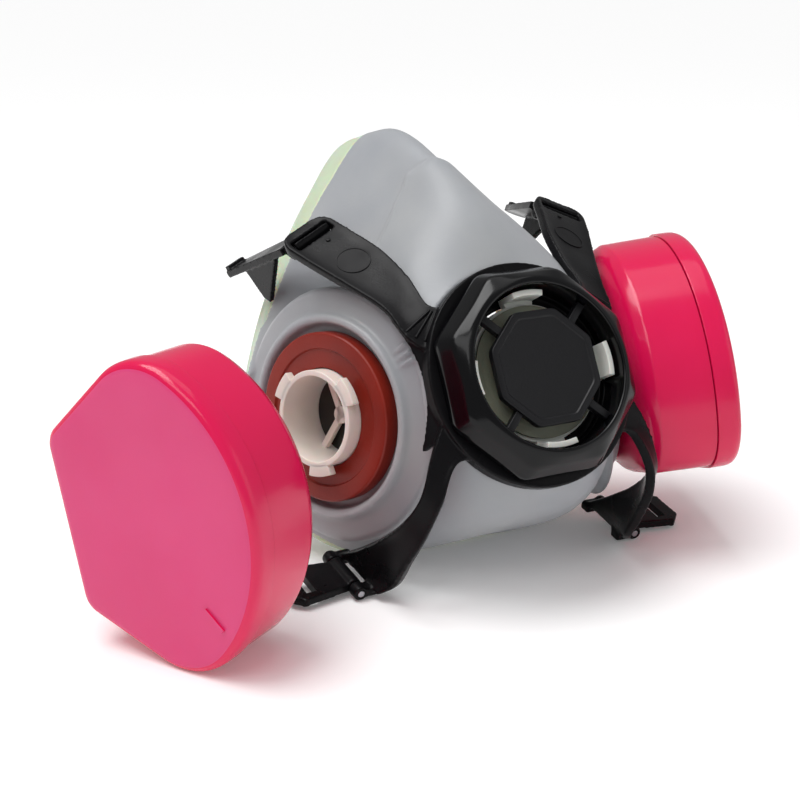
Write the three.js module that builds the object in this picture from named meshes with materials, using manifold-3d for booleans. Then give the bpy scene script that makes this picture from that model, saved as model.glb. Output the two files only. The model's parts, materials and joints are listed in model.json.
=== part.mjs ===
// Half-mask respirator with two bayonet filter cartridges, in millimetres, +Z up.
// It stands on its chin on a flat table. The wearer's left-hand cartridge is fitted, and the other one
// has been taken off and stands on its rim beside its port.
// Origin: on the table, under the middle of the chin's resting patch. +X is the side of the fitted
// cartridge, and the valve cover looks towards -Y. Pieces named left_ are on the -X side.
import * as THREE from "three";
import { mergeVertices } from "three/addons/utils/BufferGeometryUtils.js";
import Module from "manifold-3d";

const wasm = await Module();
wasm.setup();

const DEGREE = Math.PI / 180;
const GAP = 0.3; // between neighbouring pieces

// ---------------------------------------------------------------- driving dimensions
// The mask frame: origin at the middle of the valve cover's round lip, -Y out along the valve's axis.
const MASK_PITCH = -28; // degrees about X: the valve cover looks up by this much
const LIP_HEIGHT = 67.5; // of the cover's lip above the table
const LIP_TO_CHIN = -49.6; // Y of the lip's middle, from the chin's resting patch

// A port: the round seat that a cartridge locks to, in the mask frame, for the -X side.
const PORT = { x: -45.6, y: 48.9, z: 2.6, yaw: 68.7, drop: 3.3 };
const PORT_RIM_R = 27.3;
const PORT_BOSS_R = 36.5;
const PORT_FLOOR = -3.6; // recess that the gasket sits in, below the rim
const PORT_BORE_R = 15;
const GASKET_R = 24;
const GASKET_SWELL = 1.4; // how far the free gasket stands above its clamped face
const GASKET_STEP_R = 19.6;
const TUBE_R = 13.7;
const TUBE_WALL = 1.6;
const TUBE_TOP = 5.2; // the tube stands this far out of the clamped gasket's face
const LUG = { reach: 2.6, height: 2.5, halfAngle: 15, at: [127, 15, -102] };
const HUB_Z = -6.6; // of the three-armed hub in the tube

// The valve cover and what sits in it, about the valve's axis.
const COVER = { lipR: 24.3, openingR: 22.6, crestR: 28.6, crestY: 2.6, flangeR: 30.8, flangeY: 7.6, backY: 10 };
const GUARD = { discR: 17, faceY: 2.4, backY: 4.6, spokeWidth: 2.2 };
const SEAT = { outerR: 19.2, boreR: 15, faceY: 8.4, backY: 14, tabR: 21.8, tabY: 3.6 };
const FLAP_R = 18.4;
const COLLAR = { outerR: 31.4, innerR: 22.4, floorR: 19.6, frontY: 10.3, floorY: 12, backY: 14.3 };

// A cartridge: its outline is an arc, two rounded corners, two straight sides and a short flat.
// Its frame: Z out of the mask, origin on the bayonet axis at the gasket's face, X towards the arc.
const CARTRIDGE = {
  arcR: 45.3, arcX: -9.6, shoulderR: 18, shoulderAngle: 52, heelR: 6, heelX: -9.2, heelY: 19.5,
  depth: 33, seam: 25.6, shoulder: 9, wall: 1.8, coverProud: 0.6, edge: 3.2, neckR: 26.5,
};
const TWIST = 35; // degrees from locked to unlocked
const LOCKED_ROLL = 25; // of the fitted cartridge's arc side, above the port's forward direction

// The loose cartridge stands on its rim on the table.
const LOOSE = { x: -82.3, y: 32.4, yaw: 31.1, roll: 12.6 };

const COLOUR = {
  silicone: 0xb9bcc0, seal: 0xd9e2c2, black: 0x1b1b1e, satinBlack: 0x26262a, gasket: 0x9a3a2c,
  tube: 0xe3d9ca, white: 0xe8e6df, flap: 0x8d9084, pink: 0xe8417f, media: 0xf0ece2, steel: 0xb0b2b5,
};

// ---------------------------------------------------------------- solids
const ROUND = 28; // sides of a large round piece
const SMALL_ROUND = 16;

// A geometry with positions only, its shared points merged and its empty triangles dropped.
function solidReady(geometry) {
  const bare = geometry.index ? geometry.toNonIndexed() : geometry.clone();
  bare.deleteAttribute("normal");
  bare.deleteAttribute("uv");
  const merged = mergeVertices(bare, 1e-4);
  const index = merged.index.array;
  const kept = [];
  for (let i = 0; i < index.length; i += 3) {
    const [a, b, c] = [index[i], index[i + 1], index[i + 2]];
    if (a !== b && b !== c && c !== a) kept.push(a, b, c);
  }
  merged.setIndex(kept);
  return merged;
}

function solidOf(geometry) {
  const merged = solidReady(geometry);
  const vertProperties = new Float32Array(merged.attributes.position.array);
  const triVerts = new Uint32Array(merged.index.array);
  return new wasm.Manifold(new wasm.Mesh({ numProp: 3, vertProperties, triVerts }));
}

function geometryOf(solid) {
  const mesh = solid.getMesh();
  const geometry = new THREE.BufferGeometry();
  geometry.setAttribute("position", new THREE.BufferAttribute(new Float32Array(mesh.vertProperties), 3));
  geometry.setIndex(new THREE.BufferAttribute(new Uint32Array(mesh.triVerts), 1));
  return geometry;
}

const cut = (geometry, ...tools) =>
  geometryOf(tools.reduce((solid, tool) => solid.subtract(solidOf(tool)), solidOf(geometry)));
const join = (geometry, ...others) =>
  geometryOf(others.reduce((solid, other) => solid.add(solidOf(other)), solidOf(geometry)));
const common = (geometry, other) => geometryOf(solidOf(geometry).intersect(solidOf(other)));

// A closed solid from points and triangles, turned to face outwards.
function facing(points, triangles) {
  let volume = 0;
  for (let i = 0; i < triangles.length; i += 3) {
    const [a, b, c] = [0, 1, 2].map((k) => points[triangles[i + k]]);
    volume += a.dot(b.clone().cross(c));
  }
  if (volume < 0) triangles.reverse();
  const geometry = new THREE.BufferGeometry().setFromPoints(points);
  geometry.setIndex(triangles);
  return geometry;
}

// The solid between two grids of points, outer[row][column] and inner[row][column].
// The columns close on themselves where wraps is true.
function slab(outer, inner, wraps) {
  const rows = outer.length;
  const columns = outer[0].length;
  const points = [...outer.flat(), ...inner.flat()];
  const at = (side, r, c) => side * rows * columns + r * columns + (c % columns);
  const triangles = [];
  const quad = (p, q, r, s) => triangles.push(p, q, r, p, r, s);
  const steps = wraps ? columns : columns - 1;
  const end = rows - 1;
  for (let c = 0; c < steps; c++) {
    for (let r = 0; r < end; r++) {
      quad(at(0, r, c), at(0, r, c + 1), at(0, r + 1, c + 1), at(0, r + 1, c));
      quad(at(1, r, c), at(1, r + 1, c), at(1, r + 1, c + 1), at(1, r, c + 1));
    }
    quad(at(1, 0, c), at(1, 0, c + 1), at(0, 0, c + 1), at(0, 0, c));
    quad(at(0, end, c), at(0, end, c + 1), at(1, end, c + 1), at(1, end, c));
  }
  if (!wraps) {
    const side = columns - 1;
    for (let r = 0; r < end; r++) {
      quad(at(0, r, 0), at(0, r + 1, 0), at(1, r + 1, 0), at(1, r, 0));
      quad(at(1, r, side), at(1, r + 1, side), at(0, r + 1, side), at(0, r, side));
    }
  }
  return facing(points, triangles);
}

// A solid through a stack of rings of points, closed by a fan at each end.
function loft(rings) {
  const count = rings[0].length;
  const points = rings.flat();
  const triangles = [];
  for (let r = 0; r + 1 < rings.length; r++) {
    for (let c = 0; c < count; c++) {
      const [p, q] = [r * count + c, r * count + ((c + 1) % count)];
      triangles.push(p, q, q + count, p, q + count, p + count);
    }
  }
  for (const [first, flip] of [[0, true], [(rings.length - 1) * count, false]]) {
    const middle = new THREE.Vector3();
    for (let c = 0; c < count; c++) middle.addScaledVector(points[first + c], 1 / count);
    points.push(middle);
    const hub = points.length - 1;
    for (let c = 0; c < count; c++) {
      const [p, q] = [first + c, first + ((c + 1) % count)];
      triangles.push(...(flip ? [hub, q, p] : [hub, p, q]));
    }
  }
  return facing(points, triangles);
}

// A turned solid about Z from [radius, height] pairs that close on themselves or run axis to axis.
function turned(profile, segments) {
  const points = profile.map(([r, z]) => new THREE.Vector2(r, z));
  if (profile[0][0] > 0) points.push(points[0].clone());
  const geometry = new THREE.LatheGeometry(points, segments);
  geometry.rotateX(Math.PI / 2);
  return outward(geometry);
}

// The same geometry, turned to face outwards.
function outward(geometry) {
  const merged = solidReady(geometry);
  const position = merged.attributes.position;
  const points = [];
  for (let i = 0; i < position.count; i++) points.push(new THREE.Vector3().fromBufferAttribute(position, i));
  return facing(points, Array.from(merged.index.array));
}

// A cylinder or ring along Z from z0 to z1.
const ring = (inner, outer, z0, z1, segments = ROUND) =>
  turned(
    inner > 0
      ? [[inner, z0], [outer, z0], [outer, z1], [inner, z1]]
      : [[0, z0], [outer, z0], [outer, z1], [0, z1]],
    segments,
  );

// The same, along the valve's axis from front to back.
const valveRing = (inner, outer, y0, y1, segments) =>
  ring(inner, outer, -y1, -y0, segments).rotateX(Math.PI / 2);

// ---------------------------------------------------------------- the facepiece's surface
// Half-sections from the chin's middle to the nose's ridge, as [x, z], and each point's own y.
const SECTIONS = [
  {
    y: [15, 15, 15, 15, 15, 15, 15],
    xz: [[0, -30.5], [17.5, -25], [28.7, -10.4], [29.5, 7.9], [21.6, 21.6], [10.4, 28.7], [0, 30.5]],
  },
  {
    y: [24, 24, 25, 25, 25, 23, 22],
    xz: [[0, -36], [20, -32], [32.5, -13], [33.5, 8], [26, 30], [12, 45], [0, 51.5]],
  },
  {
    y: [40, 41, 42, 42, 41, 40, 40],
    xz: [[0, -38.5], [25, -35.5], [39, -15], [40, 9], [30, 36], [11, 61.5], [0, 75]],
  },
  {
    y: [56, 58, 60, 60, 60, 58, 56],
    xz: [[0, -38.5], [30, -36], [47, -16], [48.5, 9], [38, 36], [15, 73], [0, 88.5]],
  },
  {
    y: [70, 73, 77, 78, 77, 74, 71],
    xz: [[0, -38], [34, -36], [54, -17], [58.5, 8], [47, 37], [18, 78], [0, 93.5]],
  },
];

function sectionCurve({ y, xz }) {
  const half = xz.map(([x, z], i) => new THREE.Vector3(-x, y[i], z));
  const other = half.slice(1, -1).reverse().map((p) => new THREE.Vector3(-p.x, p.y, p.z));
  return new THREE.CatmullRomCurve3([...half, ...other], true, "centripetal");
}

const sectionCurves = SECTIONS.map(sectionCurve);

// s runs once round from the chin's middle up the -X side, t from the valve boss to the rear edge.
function skin(s, t) {
  const turn = ((s % 1) + 1) % 1;
  const stations = sectionCurves.map((curve) => curve.getPoint(turn));
  const rail = new THREE.CatmullRomCurve3(stations, false, "centripetal");
  return rail.getPoint(THREE.MathUtils.clamp(t, 0, 1));
}

function skinNormal(s, t) {
  const step = 2e-3;
  const around = skin(s + step, t).sub(skin(s - step, t));
  const along = skin(s, Math.min(t + step, 1)).sub(skin(s, Math.max(t - step, 0)));
  return around.cross(along).normalize();
}

const lifted = (s, t, lift) => skin(s, t).addScaledVector(skinNormal(s, t), lift);

const skinGrid = (lift) =>
  Array.from({ length: SKIN_ROWS + 1 }, (_, r) =>
    Array.from({ length: SKIN_COLUMNS }, (_, c) => lifted(c / SKIN_COLUMNS, r / SKIN_ROWS, lift)),
  );

// ---------------------------------------------------------------- places
function portBasis() {
  const [yaw, drop] = [PORT.yaw * DEGREE, PORT.drop * DEGREE];
  const level = Math.cos(drop);
  const out = new THREE.Vector3(-Math.sin(yaw) * level, -Math.cos(yaw) * level, -Math.sin(drop));
  const forward = new THREE.Vector3(Math.cos(yaw), -Math.sin(yaw), 0);
  const up = out.clone().cross(forward);
  return new THREE.Matrix4().makeBasis(forward, up, out).setPosition(PORT.x, PORT.y, PORT.z);
}

const portPlace = portBasis();
const inMask = (geometry) => geometry.clone().applyMatrix4(portPlace);
const mirrored = new THREE.Matrix4().makeScale(-1, 1, 1);
const otherSide = (geometry) => outward(geometry.clone().applyMatrix4(mirrored));

function mesh(name, geometry, colour, roughness, metalness = 0) {
  const material = new THREE.MeshStandardMaterial({ color: colour, roughness, metalness });
  const made = new THREE.Mesh(geometry, material);
  made.name = name;
  return made;
}

// ---------------------------------------------------------------- facepiece
const WALL = 2.6;
const SKIN_ROWS = 6;
const SKIN_COLUMNS = 30;

const portBoss = () =>
  turned(
    [
      [PORT_BORE_R, -9], [32, -9], [PORT_BOSS_R, -6.2], [PORT_BOSS_R - 1, -3.6], [31, -1.6],
      [PORT_RIM_R + 0.4, 0.1], [PORT_RIM_R - 0.5, 0.1], [26.2, PORT_FLOOR], [PORT_BORE_R, PORT_FLOOR],
    ],
    ROUND,
  );

// What a port removes: its bore, the tube's flange behind it, the gasket's recess and the cartridge's place.
const portCuts = () =>
  [
    ring(0, PORT_BORE_R, -20, 2), ring(0, 20, -20, -9), ring(0, 26, PORT_FLOOR, 6), ring(0, 32, 0.35, 12),
  ].map(inMask);

function facepiece() {
  const shell = slab(skinGrid(0), skinGrid(-WALL), true);
  const boss = inMask(portBoss());
  const cuts = portCuts();
  return cut(join(shell, boss, otherSide(boss)), ...cuts, ...cuts.map(otherSide));
}

// The soft lip that lies on the face: it starts along the shell's rear edge, runs back and turns in.
// Its profiles are [back, in] pairs from that edge; over the nose it runs further back and rises.
const SEAL_OUTER = {
  chin: [[4, 0.2], [7.2, 2.2], [8, 6.4], [6.2, 11.6], [3.2, 15.6]],
  nose: [[5, -0.8], [11, -2.4], [16.5, -3], [17.6, -0.4], [15.6, 3.4]],
};
const SEAL_INNER = {
  chin: [[3.6, 1.9], [5.6, 3.4], [6.2, 6.4], [4.8, 10.4], [2.2, 14.2]],
  nose: [[4.6, 1], [10.4, -0.6], [14.8, -1.1], [15.4, 0.6], [14, 3]],
};
const FACE_CENTRE = new THREE.Vector3(0, 0, 22);

function sealPoint(s, chinPair, nosePair) {
  const overNose = Math.max(0, -Math.cos(2 * Math.PI * s));
  const [back, inward] = chinPair.map((value, i) => THREE.MathUtils.lerp(value, nosePair[i], overNose));
  const edge = skin(s, 1);
  const towards = new THREE.Vector3(-edge.x, 0, FACE_CENTRE.z - edge.z).normalize();
  return edge.addScaledVector(towards, inward).add(new THREE.Vector3(0, back, 0));
}

function faceSeal() {
  const turns = Array.from({ length: SKIN_COLUMNS }, (_, c) => c / SKIN_COLUMNS);
  const behind = new THREE.Vector3(0, GAP + 0.1, 0);
  const grid = ({ chin, nose }, lift) => [
    turns.map((s) => lifted(s, 1, lift).add(behind)),
    ...chin.map((pair, i) => turns.map((s) => sealPoint(s, pair, nose[i]))),
  ];
  const besidePort = inMask(ring(0, PORT_BOSS_R + GAP, -9 - GAP, 2));
  const seal = slab(grid(SEAL_OUTER, 0), grid(SEAL_INNER, -WALL), true);
  return cut(seal, belowTable(), besidePort, otherSide(besidePort));
}

// Everything under the table, in the mask frame.
function belowTable() {
  const block = new THREE.BoxGeometry(400, 400, 40).translate(0, -LIP_TO_CHIN, -LIP_HEIGHT - 20);
  return block.rotateX(-MASK_PITCH * DEGREE);
}

// ---------------------------------------------------------------- harness yoke
// Each arm is a plate given by its two long edges from the collar to its free end, on its outer face.
const PLATE = 2.6;
const UPPER_ARM = [
  { edge: [-19, 11, 21], other: [-28, 11.5, 9] },
  { edge: [-24.3, 14, 23], other: [-33.2, 14.5, 15.4] },
  { edge: [-25, 20.8, 33.1], other: [-35.3, 18.8, 24.2] },
  { edge: [-27.4, 28.4, 43.6], other: [-40.6, 27, 34] },
  { edge: [-31.8, 36, 52.4], other: [-46.6, 35.4, 43.8] },
  { edge: [-36, 43.6, 60.6], other: [-51.6, 43.4, 53] },
];
const LOWER_ARM = [
  { edge: [-29, 11.5, -8], other: [-20.5, 11, -20.5] },
  { edge: [-34.4, 13.4, -17.6], other: [-27.8, 11.6, -20.4] },
  { edge: [-38.3, 17.6, -27.4], other: [-33.8, 14.4, -30] },
  { edge: [-41.4, 24.4, -32.2], other: [-37, 21.4, -37.4] },
  { edge: [-43.2, 36, -34.6], other: [-39, 32.4, -43.6] },
  { edge: [-44, 52, -35.4], other: [-40, 42, -48.2] },
  { edge: [-44, 65, -35], other: [-43.2, 47, -49] },
];
const WEB = [
  { edge: [-27, 11.4, 12], other: [-27.6, 11.5, -11] },
  { edge: [-33.8, 16.8, 20], other: [-33.8, 16.8, -15] },
  { edge: [-37.6, 22.8, 22], other: [-37.6, 23.4, -15] },
];

const vector = (point) => new THREE.Vector3(...point);
const smoothed = (points) => new THREE.CatmullRomCurve3(points.map(vector), false, "centripetal");

// A plate of even thickness between two smooth edges; its outer face looks away from the face.
function plate(stations, steps, thickness = PLATE) {
  const edges = [smoothed(stations.map((s) => s.edge)), smoothed(stations.map((s) => s.other))];
  const outer = Array.from({ length: steps + 1 }, (_, r) => edges.map((edge) => edge.getPoint(r / steps)));
  const normals = outer.map((row, r) => {
    const along = outer[Math.min(r + 1, steps)][0].clone().sub(outer[Math.max(r - 1, 0)][0]);
    return row[1].clone().sub(row[0]).cross(along).normalize();
  });
  const inwards = Math.sign(normals[0].y) * thickness;
  const inner = outer.map((row, r) => row.map((p) => p.clone().addScaledVector(normals[r], inwards)));
  return slab(outer, inner, false);
}

// A frame on a strap bar: X along the bar, Y out to the strap, Z off the plate's outer face.
function barPlace(from, to, strapward) {
  const x = vector(to).sub(vector(from)).normalize();
  const y = vector(strapward).addScaledVector(x, -vector(strapward).dot(x)).normalize();
  const z = x.clone().cross(y);
  const middle = vector(from).add(vector(to)).multiplyScalar(0.5);
  return new THREE.Matrix4().makeBasis(x, y, z).setPosition(middle);
}

// The upper strap bar is the end of the arm's plate; the clip's hook passes through the slot beside it.
const UPPER_ENDS = [[-50.6, 43.4, 51.2], [-35, 43.6, 58.8]];
const SLOT_FRAME = barPlace(...UPPER_ENDS, [-0.35, 0.64, 0.69]);
// The bar's middle, from the plate's end; the two clips rest at slightly different angles.
const BAR_MIDDLE = new THREE.Vector3(0, -0.9, -PLATE / 2).applyMatrix4(SLOT_FRAME);
const CLIP_FRAME = {
  left: barPlace(...UPPER_ENDS, [0, 1, 0.17]).setPosition(BAR_MIDDLE),
  right: barPlace(...UPPER_ENDS, [0, 0.9, 0.42]).setPosition(BAR_MIDDLE),
};
const SLOT = { length: 13.4, near: -6, far: -1.8 };
const HOOK = { bore: 2.5, outer: 4, length: 12.4 };
const CLIP = { length: 44, rootWidth: 15, tipWidth: 8, skew: -3.5, thickness: 2.2 };

// The lower buckle turns on a pin through two ears on the arm's end.
const LOWER_ENDS = [[-46.4, 48.6, -48.4], [-47, 66.4, -34.4]];
const BUCKLE_FRAME = barPlace(...LOWER_ENDS, [-0.996, 0.072, 0.038]);
const KNUCKLE = { outer: 2.2, bore: 1.1, pin: 1.02, length: 21, ear: 4 };
const BUCKLE = { length: 19, rootWidth: 21, tipWidth: 17, thickness: 2.4 };

const slotBlock = () =>
  new THREE.BoxGeometry(SLOT.length, SLOT.far - SLOT.near, 16).translate(0, (SLOT.far + SLOT.near) / 2, 0);

// A cylinder or tube about X.
const barRing = (inner, outer, x0, x1) => ring(inner, outer, x0, x1, SMALL_ROUND).rotateY(Math.PI / 2);

// Turns a shape drawn in [Y, Z] and extruded along Z into one extruded along X.
const alongBar = new THREE.Matrix4().set(0, 0, 1, 0, 1, 0, 0, 0, 0, 1, 0, 0, 0, 0, 0, 1);
const extruded = (shape, depth, curveSegments = 12) =>
  new THREE.ExtrudeGeometry(shape, { depth, bevelEnabled: false, curveSegments });
const points2 = (pairs) => pairs.map(([x, y]) => new THREE.Vector2(x, y));

// A flat tapered tongue from its root at y0 to its tip at y1, with cut corners; skew is its tip's x.
function tongue({ rootWidth, tipWidth, thickness, skew = 0 }, y0, y1, corner) {
  const [root, tip] = [rootWidth / 2, tipWidth / 2];
  const edge = (side) => [
    [side * root, y0], [skew + side * tip, y1 - corner], [skew + side * (tip - corner), y1],
  ];
  const shape = new THREE.Shape(points2([...edge(1), ...edge(-1).reverse()]));
  return extruded(shape, thickness).translate(0, 0, -thickness / 2);
}

// The strap clip of an upper arm: an open hook about the bar, a tongue and a hanging gusset.
function strapClip() {
  const hook = new THREE.Shape();
  const [from, to] = [-190 * DEGREE, 20 * DEGREE];
  hook.absarc(0, 0, HOOK.outer, from, to, false);
  hook.absarc(0, 0, HOOK.bore, to, from, true);
  const hooked = extruded(hook, HOOK.length).translate(0, 0, -HOOK.length / 2).applyMatrix4(alongBar);
  const lever = tongue(CLIP, HOOK.bore + 0.6, CLIP.length, 2.5);
  const gusset = extruded(new THREE.Shape(points2([[10, 0], [33, 0], [32, -11], [30, -13]])), 1.8);
  gusset.applyMatrix4(alongBar).translate(-CLIP.rootWidth / 2 + 1.6, 0, 0);
  const tipBar = new THREE.BoxGeometry(CLIP.tipWidth - 2, 3, 1.6).translate(CLIP.skew, CLIP.length - 3, 1.6);
  return join(hooked, lever, gusset, tipBar);
}

// The strap buckle of a lower arm: a middle knuckle and a tongue with a slot for the strap.
function strapBuckle() {
  const { outer, bore, length, ear } = KNUCKLE;
  const half = length / 2 - ear - GAP;
  const knuckle = barRing(0, outer, -half, half);
  const body = tongue({ ...BUCKLE, rootWidth: 2 * half }, 0.5, BUCKLE.length, 3);
  const strapSlot = new THREE.BoxGeometry(BUCKLE.tipWidth - 6, 3, 10).translate(0, BUCKLE.length - 6, 0);
  return cut(join(knuckle, body), barRing(0, bore, -20, 20), strapSlot);
}

const bucklePin = () => barRing(0, KNUCKLE.pin, -KNUCKLE.length / 2, KNUCKLE.length / 2);

// The arm's two ears about the buckle's pin, reaching back to the arm.
function ears() {
  const { outer, length, ear } = KNUCKLE;
  return [-1, 1].flatMap((side) => {
    const [x0, x1] = side < 0 ? [-length / 2, -length / 2 + ear] : [length / 2 - ear, length / 2];
    const tube = barRing(0, outer, x0, x1);
    const root = new THREE.BoxGeometry(ear, 6.5, 2.9).translate((x0 + x1) / 2, -3.25, -0.1);
    return [tube, root];
  });
}

function yokeHalf() {
  const arms = [plate(UPPER_ARM, 8), plate(LOWER_ARM, 7), plate(WEB, 3)];
  const placedEars = ears().map((ear) => ear.applyMatrix4(BUCKLE_FRAME));
  const portHole = inMask(ring(0, PORT_BOSS_R + 0.8, -30, 30, 2 * ROUND));
  const slot = slotBlock().applyMatrix4(SLOT_FRAME);
  const bore = barRing(0, KNUCKLE.bore, -20, 20).applyMatrix4(BUCKLE_FRAME);
  return cut(join(...arms, ...placedEars), portHole, slot, bore);
}

// The collar, with a floor round the exhalation seat.
function collar() {
  const { outerR, innerR, floorR, frontY, floorY, backY } = COLLAR;
  const section = [
    [floorR, -backY], [outerR, -backY], [outerR, -frontY],
    [innerR, -frontY], [innerR, -floorY], [floorR, -floorY],
  ];
  return turned(section, ROUND)
    .rotateX(Math.PI / 2);
}

function yoke() {
  const half = yokeHalf();
  const onSkin = slab(skinGrid(GAP), skinGrid(-WALL), true);
  const arms = cut(join(half, otherSide(half)), valveRing(0, COLLAR.outerR - 2, 0, 40));
  return cut(join(arms, collar()), onSkin, valveRing(0, COLLAR.outerR - 0.6, COLLAR.backY, 40), belowTable());
}

// ---------------------------------------------------------------- port pieces, in the port's frame
// A sector of a ring, about Z.
function sector(innerR, outerR, halfAngle, z0, z1) {
  const shape = new THREE.Shape();
  shape.absarc(0, 0, outerR, -halfAngle, halfAngle, false);
  shape.absarc(0, 0, innerR, halfAngle, -halfAngle, true);
  return extruded(shape, z1 - z0, 4).translate(0, 0, z0);
}

function bayonetTube() {
  const inner = TUBE_R - TUBE_WALL;
  const [back, flange] = [-11, -9.4];
  const tube = turned(
    [[inner, back], [19, back], [19, flange], [TUBE_R, flange], [TUBE_R, TUBE_TOP], [inner, TUBE_TOP]],
    ROUND,
  );
  const lugs = LUG.at.map((angle) =>
    sector(TUBE_R - 0.8, TUBE_R + LUG.reach, LUG.halfAngle * DEGREE, TUBE_TOP - LUG.height, TUBE_TOP)
      .rotateZ(angle * DEGREE),
  );
  const hub = ring(0, 2.6, HUB_Z - 0.9, HUB_Z + 0.9, SMALL_ROUND);
  const spokes = [95, 215, 335].map((angle) =>
    new THREE.BoxGeometry(inner + 0.6, 2, 1.8).translate(inner / 2 + 0.2, 0, HUB_Z).rotateZ(angle * DEGREE),
  );
  return join(tube, ...lugs, hub, ...spokes);
}

const gasket = (face) =>
  turned(
    [
      [TUBE_R + GAP, PORT_FLOOR + GAP], [GASKET_R, PORT_FLOOR + GAP], [GASKET_R, face - 0.4],
      [GASKET_R - 0.5, face], [GASKET_STEP_R, face], [GASKET_STEP_R - 0.4, face - 0.7],
      [TUBE_R + GAP, face - 0.7],
    ],
    ROUND,
  );

const inhalationFlap = () =>
  turned([[0, -9.7], [11.6, -9.4], [11.6, -8.6], [0, -8.3]], 24);

// ---------------------------------------------------------------- valve pieces
// A ring of points about the valve's axis: an octagon of the given corner radius, or a circle.
function valveSection(radius, y, octagon) {
  const count = 40;
  const eighth = Math.PI / 4;
  return Array.from({ length: count }, (_, i) => {
    const angle = ((i + 0.5) / count) * 2 * Math.PI;
    const offFlat = ((angle + eighth / 2) % eighth) - eighth / 2;
    const r = octagon ? (radius * Math.cos(eighth / 2)) / Math.cos(offFlat) : radius;
    return new THREE.Vector3(r * Math.cos(angle), y, r * Math.sin(angle));
  });
}

function valveCover() {
  const { lipR, openingR, crestR, crestY, flangeR, flangeY, backY } = COVER;
  const body = loft([
    valveSection(lipR - 0.5, 0, false),
    valveSection(lipR + 0.2, 0.5, false),
    valveSection(crestR, crestY, true),
    valveSection(flangeR, flangeY, true),
    valveSection(flangeR, backY, true),
  ]);
  return cut(body, valveRing(0, openingR, -2, backY + 2));
}

function valveGuard() {
  const { discR, faceY, backY, spokeWidth } = GUARD;
  const disc = loft([
    valveSection(discR - 0.4, faceY, true),
    valveSection(discR, faceY + 0.4, true),
    valveSection(discR, backY, true),
  ]);
  const spokes = [45, 135, 225, 315].map((angle) =>
    new THREE.BoxGeometry(9, 2.4, spokeWidth)
      .translate(COVER.openingR - GAP - 4.5, faceY + 2, 0)
      .rotateY(-angle * DEGREE),
  );
  return join(disc, ...spokes);
}

// The seat's ring, a cross in its bore and four snap tabs that reach forward round the flap.
function exhalationSeat() {
  const { outerR, boreR, faceY, backY, tabR, tabY } = SEAT;
  const body = valveRing(boreR, outerR, faceY + 1, backY);
  const cross = [0, 90].map((angle) =>
    new THREE.BoxGeometry(2 * boreR + 1, 1.6, 2).translate(0, faceY + 2.4, 0).rotateY(angle * DEGREE),
  );
  const tabs = [0, 90, 180, 270].flatMap((angle) =>
    [
      sector(outerR - 0.6, tabR, 13 * DEGREE, -COLLAR.floorY + GAP, -faceY - 1),
      sector(tabR - 1.6, tabR, 13 * DEGREE, -faceY - 1.4, -tabY),
    ]
      .map((part) => part.rotateZ(angle * DEGREE).rotateX(Math.PI / 2)),
  );
  return join(body, ...cross, ...tabs);
}

const exhalationFlap = () =>
  turned([[0, -9.1], [FLAP_R, -8.7], [FLAP_R, -8], [0, -7.6]], ROUND).rotateX(Math.PI / 2);

// ---------------------------------------------------------------- cartridge
// The outline, drawn in by inset: a wide arc, a shoulder and a heel of smaller radii, and a flat.
// Each stretch is round about its own centre, and straight sides join one stretch to the next.
function outline(inset, z) {
  const { arcR, arcX, shoulderR, shoulderAngle, heelR, heelX, heelY } = CARTRIDGE;
  const tangent = shoulderAngle * DEGREE;
  const reach = arcR - shoulderR;
  const shoulder = { x: reach * Math.cos(tangent), y: reach * Math.sin(tangent) };
  const across = { x: shoulder.x - heelX, y: shoulder.y - heelY };
  const between = Math.hypot(across.x, across.y);
  const side = Math.PI / 2 + Math.atan2(across.y, across.x) + Math.asin((shoulderR - heelR) / between);
  const stretches = [
    { x: 0, y: 0, r: arcR, from: 0, to: tangent, steps: 6 },
    { ...shoulder, r: shoulderR, from: tangent, to: side, steps: 3 },
    { x: heelX, y: heelY, r: heelR, from: side, to: Math.PI, steps: 2 },
  ];
  const round = stretches.flatMap(({ x, y, r, from, to, steps }, stretch) =>
    Array.from({ length: steps + 1 }, (_, i) => {
      const angle = THREE.MathUtils.lerp(from, to, i / steps);
      return new THREE.Vector3(arcX + x + (r - inset) * Math.cos(angle), y + (r - inset) * Math.sin(angle), z);
    }).slice(stretch === 1 ? 1 : 0),
  );
  const sideEnd = stretches[0].steps + stretches[1].steps;
  const sloped = [1 / 3, 2 / 3].map((k) => round[sideEnd].clone().lerp(round[sideEnd + 1], k));
  const flat = [2 / 3, 1 / 3].map((k) => round.at(-1).clone().multiply(new THREE.Vector3(1, k, 1)));
  const upper = [...round.slice(0, sideEnd + 1), ...sloped, ...round.slice(sideEnd + 1), ...flat];
  const middle = new THREE.Vector3(round.at(-1).x, 0, z);
  const lower = upper.slice(1).reverse().map((p) => new THREE.Vector3(p.x, -p.y, p.z));
  return [...upper, middle, ...lower];
}

// A circle with its points on the outline's rays, so the two can be lofted.
function roundOn(radius, z) {
  return outline(0, z).map((p) => {
    const angle = Math.atan2(p.y, p.x);
    return new THREE.Vector3(radius * Math.cos(angle), radius * Math.sin(angle), z);
  });
}

function cartridgeCover() {
  const { depth, seam, wall, coverProud, edge } = CARTRIDGE;
  const rounding = [0, 30, 60, 90].map((a) => a * DEGREE);
  const outer = [
    outline(-coverProud, seam),
    ...rounding.map((a) => outline(edge * (1 - Math.cos(a)) - coverProud, depth - edge * (1 - Math.sin(a)))),
  ];
  const inner = [outline(wall, seam - 1), outline(wall, depth - edge), outline(wall + 2, depth - wall)];
  const rib = new THREE.BoxGeometry(7, 1.2, 1)
    .translate(36, 0, depth + 0.1)
    .rotateZ(-52 * DEGREE)
    .translate(-4, 3, 0);
  return join(cut(loft(outer), loft(inner)), rib);
}

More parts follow.
